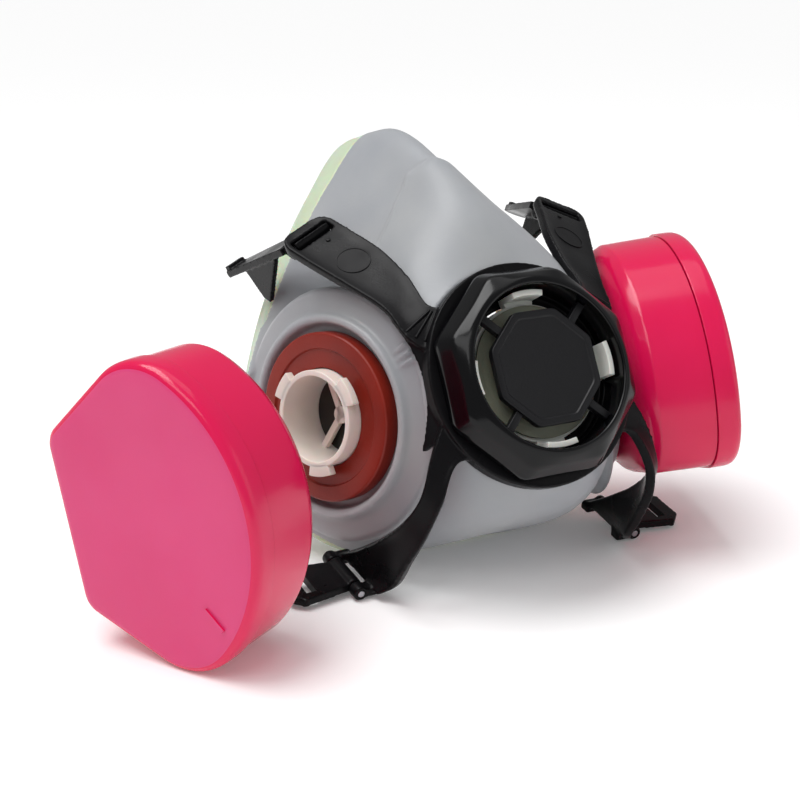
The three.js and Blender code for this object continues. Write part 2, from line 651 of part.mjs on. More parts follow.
// The outline, pushed out to at least the given radius along each ray.
const broader = (inset, radius, z) =>
  outline(inset, z).map((p) => {
    const scale = Math.max(1, radius / Math.hypot(p.x, p.y));
    return new THREE.Vector3(p.x * scale, p.y * scale, z);
  });

// The body: a neck round the bayonet plate, a broad back, a crisp shoulder and the side wall.
function cartridgeBody() {
  const { seam, shoulder, wall, neckR } = CARTRIDGE;
  const top = seam - GAP;
  const outer = loft([
    roundOn(neckR, 1.6), broader(5, neckR + 0.5, 3.4), broader(2, neckR, 6),
    outline(0.4, shoulder), outline(0, top),
  ]);
  const inner = loft([
    roundOn(neckR - wall, 1), roundOn(neckR - wall, 3.6), broader(5.8, neckR - 1.3, 5.6),
    outline(wall + 2, shoulder), outline(wall, top + 1),
  ]);
  return cut(outer, inner);
}

// The plate that seals on the gasket, with a keyed hole for the tube and its lugs.
function bayonetPlate(lugAngles) {
  const outerR = CARTRIDGE.neckR - CARTRIDGE.wall - 2 * GAP;
  const disc = turned([[0, GAP], [outerR - 1, GAP], [outerR, 1.2], [outerR, 2.3], [0, 2.3]], ROUND);
  const hole = ring(0, TUBE_R + 0.6, -2, 5);
  const half = (LUG.halfAngle + 2.5) * DEGREE;
  const notches = lugAngles.map((angle) =>
    sector(TUBE_R - 2, TUBE_R + LUG.reach + 0.6, half, -2, 6).rotateZ(angle * DEGREE),
  );
  return cut(disc, hole, ...notches);
}

// Pleated media: a zigzag sheet trimmed to the inside of the body.
function filterPack() {
  const { seam, wall } = CARTRIDGE;
  const [low, high, thickness, pitch] = [11, seam - 2, 1, 6];
  const zigzag = [];
  for (let i = 0; i <= 16; i++) zigzag.push([-48 + i * pitch, i % 2 ? high : low + thickness]);
  const sheet = new THREE.Shape(
    [...zigzag, ...zigzag.map(([x, z]) => [x, z - thickness]).reverse()]
      .map(([x, z]) => new THREE.Vector2(x, z)),
  );
  const pleats = new THREE.ExtrudeGeometry(sheet, { depth: 90, bevelEnabled: false })
    .translate(0, 0, -45)
    .rotateX(Math.PI / 2);
  return common(pleats, loft([outline(wall + 2.2, low - 2), outline(wall + 2.2, high + 2)]));
}

// A cartridge's meshes, in its own frame. lugAngles is where the port's lugs meet its keyed hole.
function cartridge(side, lugAngles) {
  return [
    mesh(`${side}_cartridge_cover`, cartridgeCover(), COLOUR.pink, 0.35),
    mesh(`${side}_cartridge_body`, cartridgeBody(), COLOUR.pink, 0.3),
    mesh(`${side}_bayonet_plate`, bayonetPlate(lugAngles), COLOUR.pink, 0.4),
    mesh(`${side}_filter_pack`, filterPack(), COLOUR.media, 0.9),
  ];
}

// ---------------------------------------------------------------- assembly
const group = new THREE.Group();
const mask = new THREE.Group();
mask.rotation.x = MASK_PITCH * DEGREE;
mask.position.set(0, LIP_TO_CHIN, LIP_HEIGHT);
group.add(mask);

mask.add(
  mesh("facepiece", facepiece(), COLOUR.silicone, 0.55),
  mesh("face_seal", faceSeal(), COLOUR.seal, 0.55),
  mesh("harness_yoke", yoke(), COLOUR.satinBlack, 0.45),
  mesh("valve_cover", valveCover(), COLOUR.black, 0.25),
  mesh("valve_guard", valveGuard(), COLOUR.satinBlack, 0.6),
  mesh("exhalation_seat", exhalationSeat(), COLOUR.white, 0.5),
  mesh("exhalation_flap", exhalationFlap(), COLOUR.flap, 0.5),
);

const fitted = new THREE.Group();
for (const side of ["left", "right"]) {
  const port = new THREE.Group();
  port.applyMatrix4(portPlace);
  port.add(
    mesh(`${side}_bayonet_tube`, bayonetTube(), COLOUR.tube, 0.5),
    mesh(`${side}_gasket`, gasket(side === "left" ? GASKET_SWELL : 0), COLOUR.gasket, 0.5),
    mesh(`${side}_inhalation_flap`, inhalationFlap(), COLOUR.flap, 0.5),
  );
  const clip = mesh(`${side}_strap_clip`, strapClip(), COLOUR.black, 0.45);
  clip.applyMatrix4(CLIP_FRAME[side]);
  const buckle = mesh(`${side}_strap_buckle`, strapBuckle(), COLOUR.black, 0.45);
  buckle.applyMatrix4(BUCKLE_FRAME);
  const pin = mesh(`${side}_buckle_pin`, bucklePin(), COLOUR.steel, 0.35, 1);
  pin.applyMatrix4(BUCKLE_FRAME);
  const half = new THREE.Group();
  half.add(clip, buckle, pin);
  if (side === "right") {
    half.scale.x = -1;
    fitted.rotation.z = LOCKED_ROLL * DEGREE;
    port.add(fitted);
  }
  half.add(port);
  mask.add(half);
}
fitted.add(...cartridge("right", LUG.at.map((angle) => angle + TWIST - LOCKED_ROLL)));

// The loose cartridge: axis level, arc side forwards and a little up, lowest edge on the table.
function loosePlace() {
  const [yaw, roll] = [LOOSE.yaw * DEGREE, LOOSE.roll * DEGREE];
  const out = new THREE.Vector3(-Math.cos(yaw), -Math.sin(yaw), 0);
  const level = new THREE.Vector3(Math.sin(yaw), -Math.cos(yaw), 0);
  const arcWards = level.multiplyScalar(Math.cos(roll)).add(new THREE.Vector3(0, 0, Math.sin(roll)));
  const upWards = out.clone().cross(arcWards);
  const lowest = Math.min(...outline(-CARTRIDGE.coverProud, 0).map((p) => p.x * arcWards.z + p.y * upWards.z));
  const place = new THREE.Matrix4().makeBasis(arcWards, upWards, out);
  return place.setPosition(LOOSE.x, LOOSE.y + LIP_TO_CHIN, -lowest);
}

const loose = new THREE.Group();
loose.applyMatrix4(loosePlace());
loose.add(...cartridge("left", LUG.at));
group.add(loose);

export default group;
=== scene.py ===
"""Looks of a half-mask respirator: smooth pieces, materials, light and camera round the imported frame."""

import json
import math

import bmesh
import bpy
import numpy as np
from mathutils import Matrix, Vector


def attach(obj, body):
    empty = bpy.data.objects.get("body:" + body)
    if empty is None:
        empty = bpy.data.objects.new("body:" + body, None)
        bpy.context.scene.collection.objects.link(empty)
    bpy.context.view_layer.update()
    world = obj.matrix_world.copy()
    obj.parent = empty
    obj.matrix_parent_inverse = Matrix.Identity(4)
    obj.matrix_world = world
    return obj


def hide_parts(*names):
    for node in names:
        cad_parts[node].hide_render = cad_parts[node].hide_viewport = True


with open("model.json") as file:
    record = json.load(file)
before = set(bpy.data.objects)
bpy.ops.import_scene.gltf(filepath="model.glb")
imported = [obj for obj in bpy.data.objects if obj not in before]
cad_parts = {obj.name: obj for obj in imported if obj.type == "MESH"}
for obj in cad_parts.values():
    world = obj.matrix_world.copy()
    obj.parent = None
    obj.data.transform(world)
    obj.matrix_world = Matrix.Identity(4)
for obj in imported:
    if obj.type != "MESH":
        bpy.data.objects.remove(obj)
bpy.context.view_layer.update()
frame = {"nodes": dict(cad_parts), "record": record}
mounts = {mount["name"]: mount for mount in frame["record"]["mounts"]}
joints = {joint["name"]: joint for joint in frame["record"]["behaviour"]["joints"]}

MM = 0.001
GAP = 0.3
SIDES = ("left", "right")

# ---------------------------------------------------------------- frames, in millimetres inside
MIRROR = Matrix.Diagonal((-1, 1, 1, 1))


def basis(x, y, z, origin):
    return Matrix((x, y, z)).transposed().to_4x4() if origin is None else (
        Matrix.Translation(origin) @ Matrix((x, y, z)).transposed().to_4x4())


def mount_place(name):
    return Vector(mounts[name]["pos_m"]) / MM, Vector(mounts[name]["axis"]).normalized()


def upright_basis(out, up, origin):
    """X is level across the axis, Z is the axis itself."""
    forward = up.cross(out).normalized()
    return basis(forward, out.cross(forward), out, origin)


GUARD_FACE_Y = 2.4  # behind the cover's lip
guard_point, valve_out = mount_place("valve_guard_face")
MASK_X = Vector((1, 0, 0))
MASK_Y = -valve_out
MASK_MM = basis(MASK_X, MASK_Y, MASK_X.cross(MASK_Y), guard_point + valve_out * GUARD_FACE_Y)

twist = joints["right_cartridge_twist"]
row_to_mask = MASK_MM.inverted()
port_centre = MIRROR @ (row_to_mask @ (Vector(twist["pos_m"]) / MM))
port_out = MIRROR.to_3x3() @ (row_to_mask.to_3x3() @ Vector(twist["axis"])).normalized()
PORT_IN_MASK = upright_basis(port_out, Vector((0, 0, 1)), port_centre)

ROW = Matrix.Scale(MM, 4)
MASK = ROW @ MASK_MM
MASK_SIDE = {"left": MASK, "right": MASK @ MIRROR}
PORT = {side: MASK_SIDE[side] @ PORT_IN_MASK for side in SIDES}

LOCKED_ROLL = 25
LOOSE_ROLL = 12.6
FACE_POINT = Vector((8, 0, 33))  # of the face's mount, in the cartridge's own frame
loose_point, loose_out = mount_place("left_cartridge_face")
loose_level = upright_basis(loose_out, Vector((0, 0, 1)), Vector())
loose_turn = loose_level @ Matrix.Rotation(math.radians(LOOSE_ROLL), 4, "Z")
LOOSE = ROW @ Matrix.Translation(loose_point - loose_turn @ FACE_POINT) @ loose_turn
FITTED = PORT["right"] @ Matrix.Rotation(math.radians(LOCKED_ROLL), 4, "Z")
CARTRIDGE_PLACE = {"left": LOOSE, "right": FITTED}


# ---------------------------------------------------------------- shapes
class Shape:
    """Points in millimetres and the faces between them."""

    def __init__(self, points, faces):
        self.points = np.asarray(points, float).reshape(-1, 3)
        self.faces = [tuple(int(i) for i in face) for face in faces]

    def __add__(self, other):
        shift = len(self.points)
        faces = self.faces + [tuple(i + shift for i in face) for face in other.faces]
        return Shape(np.vstack((self.points, other.points)), faces)

    def moved(self, matrix):
        m = np.array(matrix)
        points = self.points @ m[:3, :3].T + m[:3, 3]
        faces = [face[::-1] for face in self.faces] if np.linalg.det(m[:3, :3]) < 0 else self.faces
        return Shape(points, faces)


def rot(axis, degrees):
    return Matrix.Rotation(math.radians(degrees), 4, axis)


def shift(x, y, z):
    return Matrix.Translation((x, y, z))


def soften(points, setback, steps=4, closed=False):
    """The polyline with each corner rounded: it is cut back by setback and bridged by a parabola."""
    points = np.asarray(points, float)
    count = len(points)
    setbacks = np.broadcast_to(setback, count)
    made = []
    for i in range(count):
        if not closed and i in (0, count - 1):
            made.append(points[i])
            continue
        before, corner, after = points[i - 1], points[i], points[(i + 1) % count]
        cut = [min(setbacks[i], 0.45 * np.linalg.norm((end - corner)[:2])) for end in (before, after)]
        start, end = [corner + (other - corner) * c / max(np.linalg.norm((other - corner)[:2]), 1e-9)
                      for other, c in zip((before, after), cut)]
        if min(cut) < 1e-6:
            made.append(corner)
            continue
        for k in np.linspace(0, 1, steps + 1):
            made.append((1 - k) ** 2 * start + 2 * k * (1 - k) * corner + k * k * end)
    return np.array(made)


def grid_faces(rows, columns, wrap_rows, wrap_columns, start=0):
    faces = []
    for r in range(rows if wrap_rows else rows - 1):
        for c in range(columns if wrap_columns else columns - 1):
            r1, c1 = (r + 1) % rows, (c + 1) % columns
            faces.append((start + r * columns + c, start + r * columns + c1,
                          start + r1 * columns + c1, start + r1 * columns + c))
    return faces


def loft(rings, loop=False):
    """A skin through a stack of rings; its ends are capped unless the stack loops back on itself."""
    rings = np.asarray(rings, float)
    rows, columns = rings.shape[:2]
    faces = grid_faces(rows, columns, loop, True)
    if not loop:
        faces.append(tuple(range(columns))[::-1])
        faces.append(tuple(range((rows - 1) * columns, rows * columns)))
    return Shape(rings.reshape(-1, 3), faces)


def circle(radius, height, segments):
    angles = np.linspace(0, 2 * math.pi, segments, endpoint=False)
    return np.stack((radius * np.cos(angles), radius * np.sin(angles), np.full(segments, height)), axis=1)


def lathe(profile, segments=128, setback=0.0, loop=True):
    """A turned solid about Z from [radius, height] pairs, with its corners softened."""
    points = soften(profile, setback, closed=loop) if np.any(setback) else np.asarray(profile, float)
    return loft([circle(max(r, 1e-3), z, segments) for r, z in points], loop=loop)


def tube(inner, outer, z0, z1, segments=128, setback=0.3):
    return lathe([(inner, z0), (outer, z0), (outer, z1), (inner, z1)], segments, setback)


def rod(radius, z0, z1, segments=64):
    return lathe([(0, z0), (radius, z0), (radius, z1), (0, z1)], segments, 0.25, loop=False)


def block(size, centre=(0, 0, 0)):
    half = np.array(size) / 2
    corners = np.array([[x, y, z] for z in (-1, 1) for y in (-1, 1) for x in (-1, 1)]) * half + centre
    faces = [(0, 2, 3, 1), (4, 5, 7, 6), (0, 1, 5, 4), (2, 6, 7, 3), (0, 4, 6, 2), (1, 3, 7, 5)]
    return Shape(corners, faces)


def prism(outline, z0, z1):
    outline = np.asarray(outline, float)
    rings = [np.column_stack((outline, np.full(len(outline), z))) for z in (z0, z1)]
    return loft(rings)


def sector(inner, outer, half_angle, z0, z1, steps=10):
    angles = np.radians(np.linspace(-half_angle, half_angle, steps))
    arc = [(outer * math.cos(a), outer * math.sin(a)) for a in angles]
    back = [(inner * math.cos(a), inner * math.sin(a)) for a in angles[::-1]]
    return prism(arc + back, z0, z1)


# ---------------------------------------------------------------- pieces
def new_object(name, shape, place):
    world = shape.moved(place)
    mesh = bpy.data.meshes.new(name)
    mesh.from_pydata(world.points.tolist(), [], world.faces)
    mesh.validate()
    made = bpy.data.objects.new(name, mesh)
    bpy.context.scene.collection.objects.link(made)
    outward(made)
    return made


def outward(made):
    """Turns made's faces outwards."""
    work = bmesh.new()
    work.from_mesh(made.data)
    bmesh.ops.recalc_face_normals(work, faces=work.faces)
    work.to_mesh(made.data)
    work.free()


def modify(made, kind, **settings):
    modifier = made.modifiers.new(kind.lower(), kind)
    for key, value in settings.items():
        setattr(modifier, key, value)
    return modifier


def apply_modifiers(made):
    graph = bpy.context.evaluated_depsgraph_get()
    mesh = bpy.data.meshes.new_from_object(made.evaluated_get(graph))
    made.modifiers.clear()
    made.data = mesh


def carve(made, *cutters):
    """Cuts closed shapes, given as objects, out of made."""
    for cutter in cutters:
        modify(made, "BOOLEAN", operation="DIFFERENCE", solver="EXACT", object=cutter)
    apply_modifiers(made)
    for cutter in cutters:
        bpy.data.objects.remove(cutter)


def moulded(made, voxel, rounds, factor=0.5):
    """Fuses what made holds into one skin with soft inner and outer corners."""
    modify(made, "REMESH", mode="VOXEL", voxel_size=voxel * MM, use_smooth_shade=True)
    if rounds:
        modify(made, "SMOOTH", factor=factor, iterations=rounds)
    apply_modifiers(made)


def smooth_shading(made, angle):
    made.data.shade_smooth()
    if angle:
        made.data.set_sharp_from_angle(angle=math.radians(angle))


def piece(name, made, body, nodes, material, angle=40, bevel=0.0):
    """Names a finished object, gives it its material and hands it to the frame."""
    made.name = name
    made.data.name = name
    if bevel:
        modify(made, "BEVEL", width=bevel * MM, segments=3, limit_method="ANGLE",
               angle_limit=math.radians(35))
        apply_modifiers(made)
    smooth_shading(made, angle)
    made.data.materials.clear()
    made.data.materials.append(material)
    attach(made, body)
    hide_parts(*nodes)
    return made


# ---------------------------------------------------------------- materials
def rgb(*values):
    """An sRGB colour of 0 to 255 as linear RGBA."""
    linear = [v / 255 / 12.92 if v / 255 <= 0.04045 else ((v / 255 + 0.055) / 1.055) ** 2.4 for v in values]
    return (*linear, 1)


class Look:
    """A material with a Principled shader, to which mottling, wear in the gloss and fine relief are added."""

    def __init__(self, name, colour, roughness, **inputs):
        self.material = bpy.data.materials.new(name)
        self.material.use_nodes = True
        self.nodes = self.material.node_tree.nodes
        self.links = self.material.node_tree.links
        self.shader = self.nodes["Principled BSDF"]
        self.colour = colour
        self.shader.inputs["Base Color"].default_value = colour
        self.shader.inputs["Roughness"].default_value = roughness
        for key, value in inputs.items():
            self.shader.inputs[key.replace("_", " ")].default_value = value
        self.coordinates = self.nodes.new("ShaderNodeTexCoord").outputs["Object"]
        self.height = None

    def noise(self, scale, detail=4, stretch=(1, 1, 1)):
        mapping = self.nodes.new("ShaderNodeMapping")
        mapping.inputs["Scale"].default_value = stretch
        self.links.new(self.coordinates, mapping.inputs["Vector"])
        noise = self.nodes.new("ShaderNodeTexNoise")
        noise.inputs["Scale"].default_value = scale
        noise.inputs["Detail"].default_value = detail
        self.links.new(mapping.outputs["Vector"], noise.inputs["Vector"])
        return noise.outputs["Fac"]

    def between(self, factor, low, high, start=0.35, end=0.65):
        spread = self.nodes.new("ShaderNodeMapRange")
        for key, value in {"From Min": start, "From Max": end, "To Min": low, "To Max": high}.items():
            spread.inputs[key].default_value = value
        self.links.new(factor, spread.inputs["Value"])
        return spread.outputs["Result"]

    def mottled(self, scale, other, amount=1.0):
        mix = self.nodes.new("ShaderNodeMix")
        mix.data_type = "RGBA"
        self.links.new(self.between(self.noise(scale), 0, amount), mix.inputs["Factor"])
        mix.inputs["A"].default_value = self.colour
        mix.inputs["B"].default_value = other
        self.links.new(mix.outputs["Result"], self.shader.inputs["Base Color"])
        return self

    def worn(self, scale, low, high):
        self.links.new(self.between(self.noise(scale, 5), low, high), self.shader.inputs["Roughness"])
        return self

    def relief(self, scale, distance, strength=1.0, stretch=(1, 1, 1)):
        bump = self.nodes.new("ShaderNodeBump")
        bump.inputs["Distance"].default_value = distance * MM
        bump.inputs["Strength"].default_value = strength
        self.links.new(self.noise(scale, 3, stretch), bump.inputs["Height"])
        if self.height:
            self.links.new(self.height, bump.inputs["Normal"])
        self.height = bump.outputs["Normal"]
        self.links.new(self.height, self.shader.inputs["Normal"])
        return self


def silicone_look():
    look = Look("grey_silicone", rgb(173, 175, 177), 0.4, Subsurface_Weight=0.55, Subsurface_Scale=0.006,
                Transmission_Weight=0.12, IOR=1.41, Sheen_Weight=0.1)
    look.shader.inputs["Subsurface Radius"].default_value = (1.0, 1.0, 1.05)
    return look.mottled(28, rgb(162, 165, 170)).worn(60, 0.33, 0.47).relief(900, 0.03).material


def seal_look():
    look = Look("seal_silicone", rgb(226, 234, 212), 0.36, Subsurface_Weight=0.7, Subsurface_Scale=0.008,
                Transmission_Weight=0.25, IOR=1.41)
    return look.mottled(30, rgb(218, 229, 196)).relief(900, 0.02).material


def satin_black_look():
    look = Look("satin_black_plastic", rgb(11, 11, 13), 0.3, Specular_IOR_Level=0.12)
    look.mottled(45, rgb(16, 15, 17)).worn(80, 0.22, 0.38)
    return look.relief(1500, 0.02).relief(40, 0.15, 0.3).material


def gloss_black_look():
    look = Look("gloss_black_plastic", rgb(6, 6, 8), 0.16, Specular_IOR_Level=0.2, Coat_Weight=0.1,
                Coat_Roughness=0.06)
    return look.worn(55, 0.12, 0.24).relief(50, 0.12, 0.25).material


def matt_black_look():
    look = Look("matt_black_plastic", rgb(15, 15, 18), 0.45, Specular_IOR_Level=0.3)
    return look.worn(90, 0.38, 0.5).relief(1800, 0.05).material


def cream_look():
    look = Look("cream_plastic", rgb(238, 229, 221), 0.34, Subsurface_Weight=0.2, Subsurface_Scale=0.002)
    return look.mottled(60, rgb(228, 217, 207)).relief(1200, 0.02).material


def white_look():
    look = Look("white_plastic", rgb(226, 226, 220), 0.42, Subsurface_Weight=0.1, Subsurface_Scale=0.002)
    return look.material


def gasket_look():
    look = Look("red_gasket", rgb(140, 38, 24), 0.38, Specular_IOR_Level=0.3)
    return look.mottled(50, rgb(126, 32, 20)).worn(70, 0.32, 0.46).relief(1100, 0.05).material


def flap_look():
    look = Look("olive_flap", rgb(122, 124, 108), 0.5, Subsurface_Weight=0.2, Subsurface_Scale=0.002)
    return look.mottled(60, rgb(112, 114, 98)).relief(900, 0.02).material


def dark_flap_look():
    return Look("dark_flap", rgb(24, 24, 22), 0.5).mottled(60, rgb(32, 32, 28)).relief(900, 0.02).material


def pink_look():
    look = Look("pink_plastic", rgb(224, 20, 84), 0.2, Specular_IOR_Level=0.35, Coat_Weight=0.15,
                Coat_Roughness=0.06, Subsurface_Weight=0.12, Subsurface_Scale=0.002)
    return look.mottled(14, rgb(216, 18, 76)).worn(35, 0.14, 0.26).relief(35, 0.12, 0.25).material


# The cover's outward face: the same pink plastic as its sides, with the base colour painted lighter and paler
# as a painted reflection of the white surroundings.
def pink_face_painted_reflection_look():
    look = Look("pink_face_with_painted_reflection", rgb(221, 60, 122), 0.4, Specular_IOR_Level=0.5,
                Subsurface_Weight=0.12, Subsurface_Scale=0.002)
    return look.mottled(18, rgb(215, 54, 114)).worn(60, 0.34, 0.48).relief(1300, 0.03).material


def media_look():
    return Look("filter_fibre", rgb(238, 234, 222), 0.9).relief(2500, 0.2).material


def steel_look():
    look = Look("pin_steel", rgb(170, 170, 175), 0.35, Metallic=1.0)
    return look.relief(2000, 0.02, stretch=(1, 8, 8)).material


# ---------------------------------------------------------------- the facepiece's surface
# Half-sections from the chin's middle to the nose's ridge, as (x, z), and each point's own y.
SECTIONS = [
    ((15, 15, 15, 15, 15, 15, 15),
     ((0, -30.5), (17.5, -25), (28.7, -10.4), (29.5, 7.9), (21.6, 21.6), (10.4, 28.7), (0, 30.5))),
    ((24, 24, 25, 25, 25, 23, 22),
     ((0, -36), (20, -32), (32.5, -13), (33.5, 8), (26, 30), (12, 45), (0, 51.5))),
    ((40, 41, 42, 42, 41, 40, 40),
     ((0, -38.5), (25, -35.5), (39, -15), (40, 9), (30, 36), (11, 61.5), (0, 75))),
    ((56, 58, 60, 60, 60, 58, 56),
     ((0, -38.5), (30, -36), (47, -16), (48.5, 9), (38, 36), (15, 73), (0, 88.5))),
    ((70, 73, 77, 78, 77, 74, 71),
     ((0, -38), (34, -36), (54, -17), (58.5, 8), (47, 37), (18, 78), (0, 93.5))),
]
WALL = 2.6


def curve_points(controls, parameters, closed):
    """A centripetal Catmull-Rom curve through controls, at parameters from 0 to 1."""
    controls = np.asarray(controls, float)
    count = len(controls)
    spans = count if closed else count - 1
    if closed:
        padded = np.vstack((controls[-1], controls, controls[0], controls[1]))
    else:
        padded = np.vstack((2 * controls[0] - controls[1], controls, 2 * controls[-1] - controls[-2]))
    made = []
    for t in parameters:
        along = (t % 1 if closed else min(max(t, 0), 1)) * spans
        span = min(int(along), spans - 1)
        w = along - span
        p0, p1, p2, p3 = padded[span:span + 4]
        d0, d1, d2 = [max(np.linalg.norm(b - a) ** 0.5, 1e-4) for a, b in ((p0, p1), (p1, p2), (p2, p3))]
        m1 = ((p1 - p0) / d0 - (p2 - p0) / (d0 + d1) + (p2 - p1) / d1) * d1
        m2 = ((p2 - p1) / d1 - (p3 - p1) / (d1 + d2) + (p3 - p2) / d2) * d1
        made.append((2 * w**3 - 3 * w**2 + 1) * p1 + (w**3 - 2 * w**2 + w) * m1
                    + (3 * w**2 - 2 * w**3) * p2 + (w**3 - w**2) * m2)
    return np.array(made)


def skin_grid(rows, columns):
    """Rows from the valve's boss to the rear edge, columns once round from the chin up the -X side."""
    turns = np.arange(columns) / columns
    rails = []
    for ys, pairs in SECTIONS:
        half = [(-x, y, z) for y, (x, z) in zip(ys, pairs)]
        other = [(-x, y, z) for x, y, z in half[-2:0:-1]]
        rails.append(curve_points(half + other, turns, True))
    rails = np.array(rails)
    steps = np.linspace(0, 1, rows + 1)
    return np.stack([curve_points(rails[:, c], steps, False) for c in range(columns)], axis=1)


def grid_normals(grid):
    around = np.roll(grid, -1, axis=1) - np.roll(grid, 1, axis=1)
    along = np.gradient(grid, axis=0)
    normals = np.cross(around, along)
    return normals / np.linalg.norm(normals, axis=2, keepdims=True)


SKIN = skin_grid(64, 240)
SKIN_NORMALS = grid_normals(SKIN)


def shell_shape(depth):
    outer = SKIN + nose_panel(SKIN)[..., None] * SKIN_NORMALS
    inner = SKIN - depth * SKIN_NORMALS
    rows, columns = SKIN.shape[:2]
    section = np.concatenate((outer, inner[::-1]))
    return Shape(section.reshape(-1, 3), grid_faces(2 * rows, columns, True, True))


# The round boss of a port, as (radius, height) from its bore round the outside to the gasket's recess.
BOSS = [(15, -9), (32, -9), (36.5, -6.2), (36.4, -4.6), (35.2, -3.5), (32, -2.7), (29.8, -2.1), (29.2, -1.5),
        (28.7, 0), (27.9, 0.4), (27, 0.1), (26.3, -0.6), (26.2, -3.6), (15, -3.6)]
RING_RIBS = (12, 16, 20)  # degrees above the port's forward direction
CREASE = [(0, 71.5), (3, 70.1), (7, 68.4), (10, 63.5), (15, 56.9), (19, 51.7), (22, 47.8), (30, 37)]
NOSE_RELIEF = 1.5
CREASE_WIDTH = 0.4


def nose_panel(grid):
    """How far each point of the skin stands out: the nose's front, below the crease, is raised a little."""
    crease_x, crease_z = np.array(CREASE).T
    limit = np.interp(np.abs(grid[..., 0]), crease_x, crease_z)
    inside = 1 / (1 + np.exp((grid[..., 2] - limit) / CREASE_WIDTH))
    above_ports = grid[..., 2] > 15
    return NOSE_RELIEF * inside * above_ports


def facepiece(material):
    made = new_object("facepiece_shell", shell_shape(WALL), MASK)
    cutters = [new_object("cutter", rod(35, -7, 20, 96), PORT[side]) for side in SIDES]
    carve(made, *cutters)
    boss = lathe(BOSS, 160, 0.35)
    for angle in RING_RIBS:
        boss += block((5.4, 0.6, 1.2), (32.8, 0, -2.4)).moved(rot("Z", angle))
    rings = sum((boss.moved(PORT[side]) for side in SIDES), Shape([], []))
    bosses = new_object("port_bosses", rings, Matrix())
    join_into(made, bosses)
    moulded(made, 0.6, 3)
    return piece("facepiece_moulding", made, "facepiece", ["facepiece"], material,
                 angle=0)


def join_into(made, *others):
    """Adds the others' meshes to made's, without cutting either."""
    shapes = []
    for part in (made, *others):
        points = [tuple(v.co) for v in part.data.vertices]
        shapes.append(Shape(points, [tuple(p.vertices) for p in part.data.polygons]))
    whole = sum(shapes[1:], shapes[0])
    mesh = bpy.data.meshes.new(made.name)
    mesh.from_pydata(whole.points.tolist(), [], whole.faces)
    made.data = mesh
    for part in others:
        bpy.data.objects.remove(part)


# ---------------------------------------------------------------- face seal
SEAL = {
    "chin": [(0.4, 0.0), (4, 0.2), (7.2, 2.2), (8, 6.4), (6.2, 11.6), (3.2, 15.6),
             (2.2, 14.2), (4.8, 10.4), (6.2, 6.4), (5.6, 3.4), (3.6, 1.9), (0.4, 2.3)],
    "nose": [(0.4, 0.0), (5, -0.8), (11, -2.4), (16.5, -3), (17.6, -0.4), (15.6, 3.4),
             (14, 3), (15.4, 0.6), (14.8, -1.1), (10.4, -0.6), (4.6, 1), (0.4, 2.3)],
}
FACE_CENTRE_Z = 22


def face_seal(material):
    edge = SKIN[-1]
    towards = np.stack((-edge[:, 0], np.zeros(len(edge)), FACE_CENTRE_Z - edge[:, 2]), axis=1)
    towards /= np.linalg.norm(towards, axis=1, keepdims=True)
    turns = np.arange(len(edge)) / len(edge)
    over_nose = np.clip(-np.cos(2 * math.pi * turns), 0, None)[:, None]
    chin, nose = [soften(SEAL[place], 1.6, 5, closed=True) for place in ("chin", "nose")]
    rings = []
    for low, high in zip(chin, nose):
        back, inward = (low * (1 - over_nose) + high * over_nose).T
        rings.append(edge + inward[:, None] * towards + back[:, None] * np.array((0, 1, 0)))
    made = new_object("face_seal_lip", loft(rings, loop=True), MASK)
    floor = new_object("cutter", block((400, 400, 40), (0, 0, -20 + 0.02)), ROW)
    beside = [new_object("cutter", rod(36.8, -9.3, 2, 96), PORT[side]) for side in SIDES]
    carve(made, floor, *beside)
    return piece("face_seal_lip", made, "facepiece", ["face_seal"], material, angle=50)


# ---------------------------------------------------------------- harness yoke
PLATE = 2.6
UPPER_ARM = [((-19, 11, 21), (-28, 11.5, 9)), ((-24.3, 14, 23), (-33.2, 14.5, 15.4)),
             ((-25, 20.8, 33.1), (-35.3, 18.8, 24.2)), ((-27.4, 28.4, 43.6), (-40.6, 27, 34)),
             ((-31.8, 36, 52.4), (-46.6, 35.4, 43.8)), ((-36, 43.6, 60.6), (-51.6, 43.4, 53))]
LOWER_ARM = [((-29, 11.5, -8), (-20.5, 11, -20.5)), ((-34.4, 13.4, -17.6), (-27.8, 11.6, -20.4)),
             ((-38.3, 17.6, -27.4), (-33.8, 14.4, -30)), ((-41.4, 24.4, -32.2), (-37, 21.4, -37.4)),
             ((-43.2, 36, -34.6), (-39, 32.4, -43.6)), ((-44, 52, -35.4), (-40, 42, -48.2)),
             ((-44, 65, -35), (-43.2, 47, -49))]
WEB = [((-27, 11.4, 12), (-27.6, 11.5, -11)), ((-33.8, 16.8, 20), (-33.8, 16.8, -15)),
       ((-37.6, 22.8, 22), (-37.6, 23.4, -15))]
COLLAR = {"outer": 31.4, "inner": 22.4, "floor": 19.6, "front_y": 10.3, "floor_y": 12, "back_y": 14.3}
PORT_HOLE_R = 37.3


def arm_rows(stations, steps, end_radius=0.0):
    """Rows of points across an arm's outer face, and each row's normal away from the face."""
    turns = np.linspace(0, 1, steps + 1)
    edges = [curve_points([station[k] for station in stations], turns, False) for k in (0, 1)]
    along = np.gradient(edges[0], axis=0)
    normals = np.cross(edges[1] - edges[0], along)
    normals /= np.linalg.norm(normals, axis=1, keepdims=True)
    normals *= -np.sign(normals[0, 1])
    across = np.linspace(0, 1, 13)
    widths = np.linalg.norm(edges[1] - edges[0], axis=1)
    left = np.linalg.norm(edges[0] - edges[0][-1], axis=1)
    short = np.clip(end_radius - left, 0, end_radius)
    inset = (end_radius - np.sqrt(end_radius**2 - short**2)) / widths
    spread = inset[:, None] + across[None] * (1 - 2 * inset[:, None])
    rows = edges[0][:, None] * (1 - spread[..., None]) + edges[1][:, None] * spread[..., None]
    return rows, normals


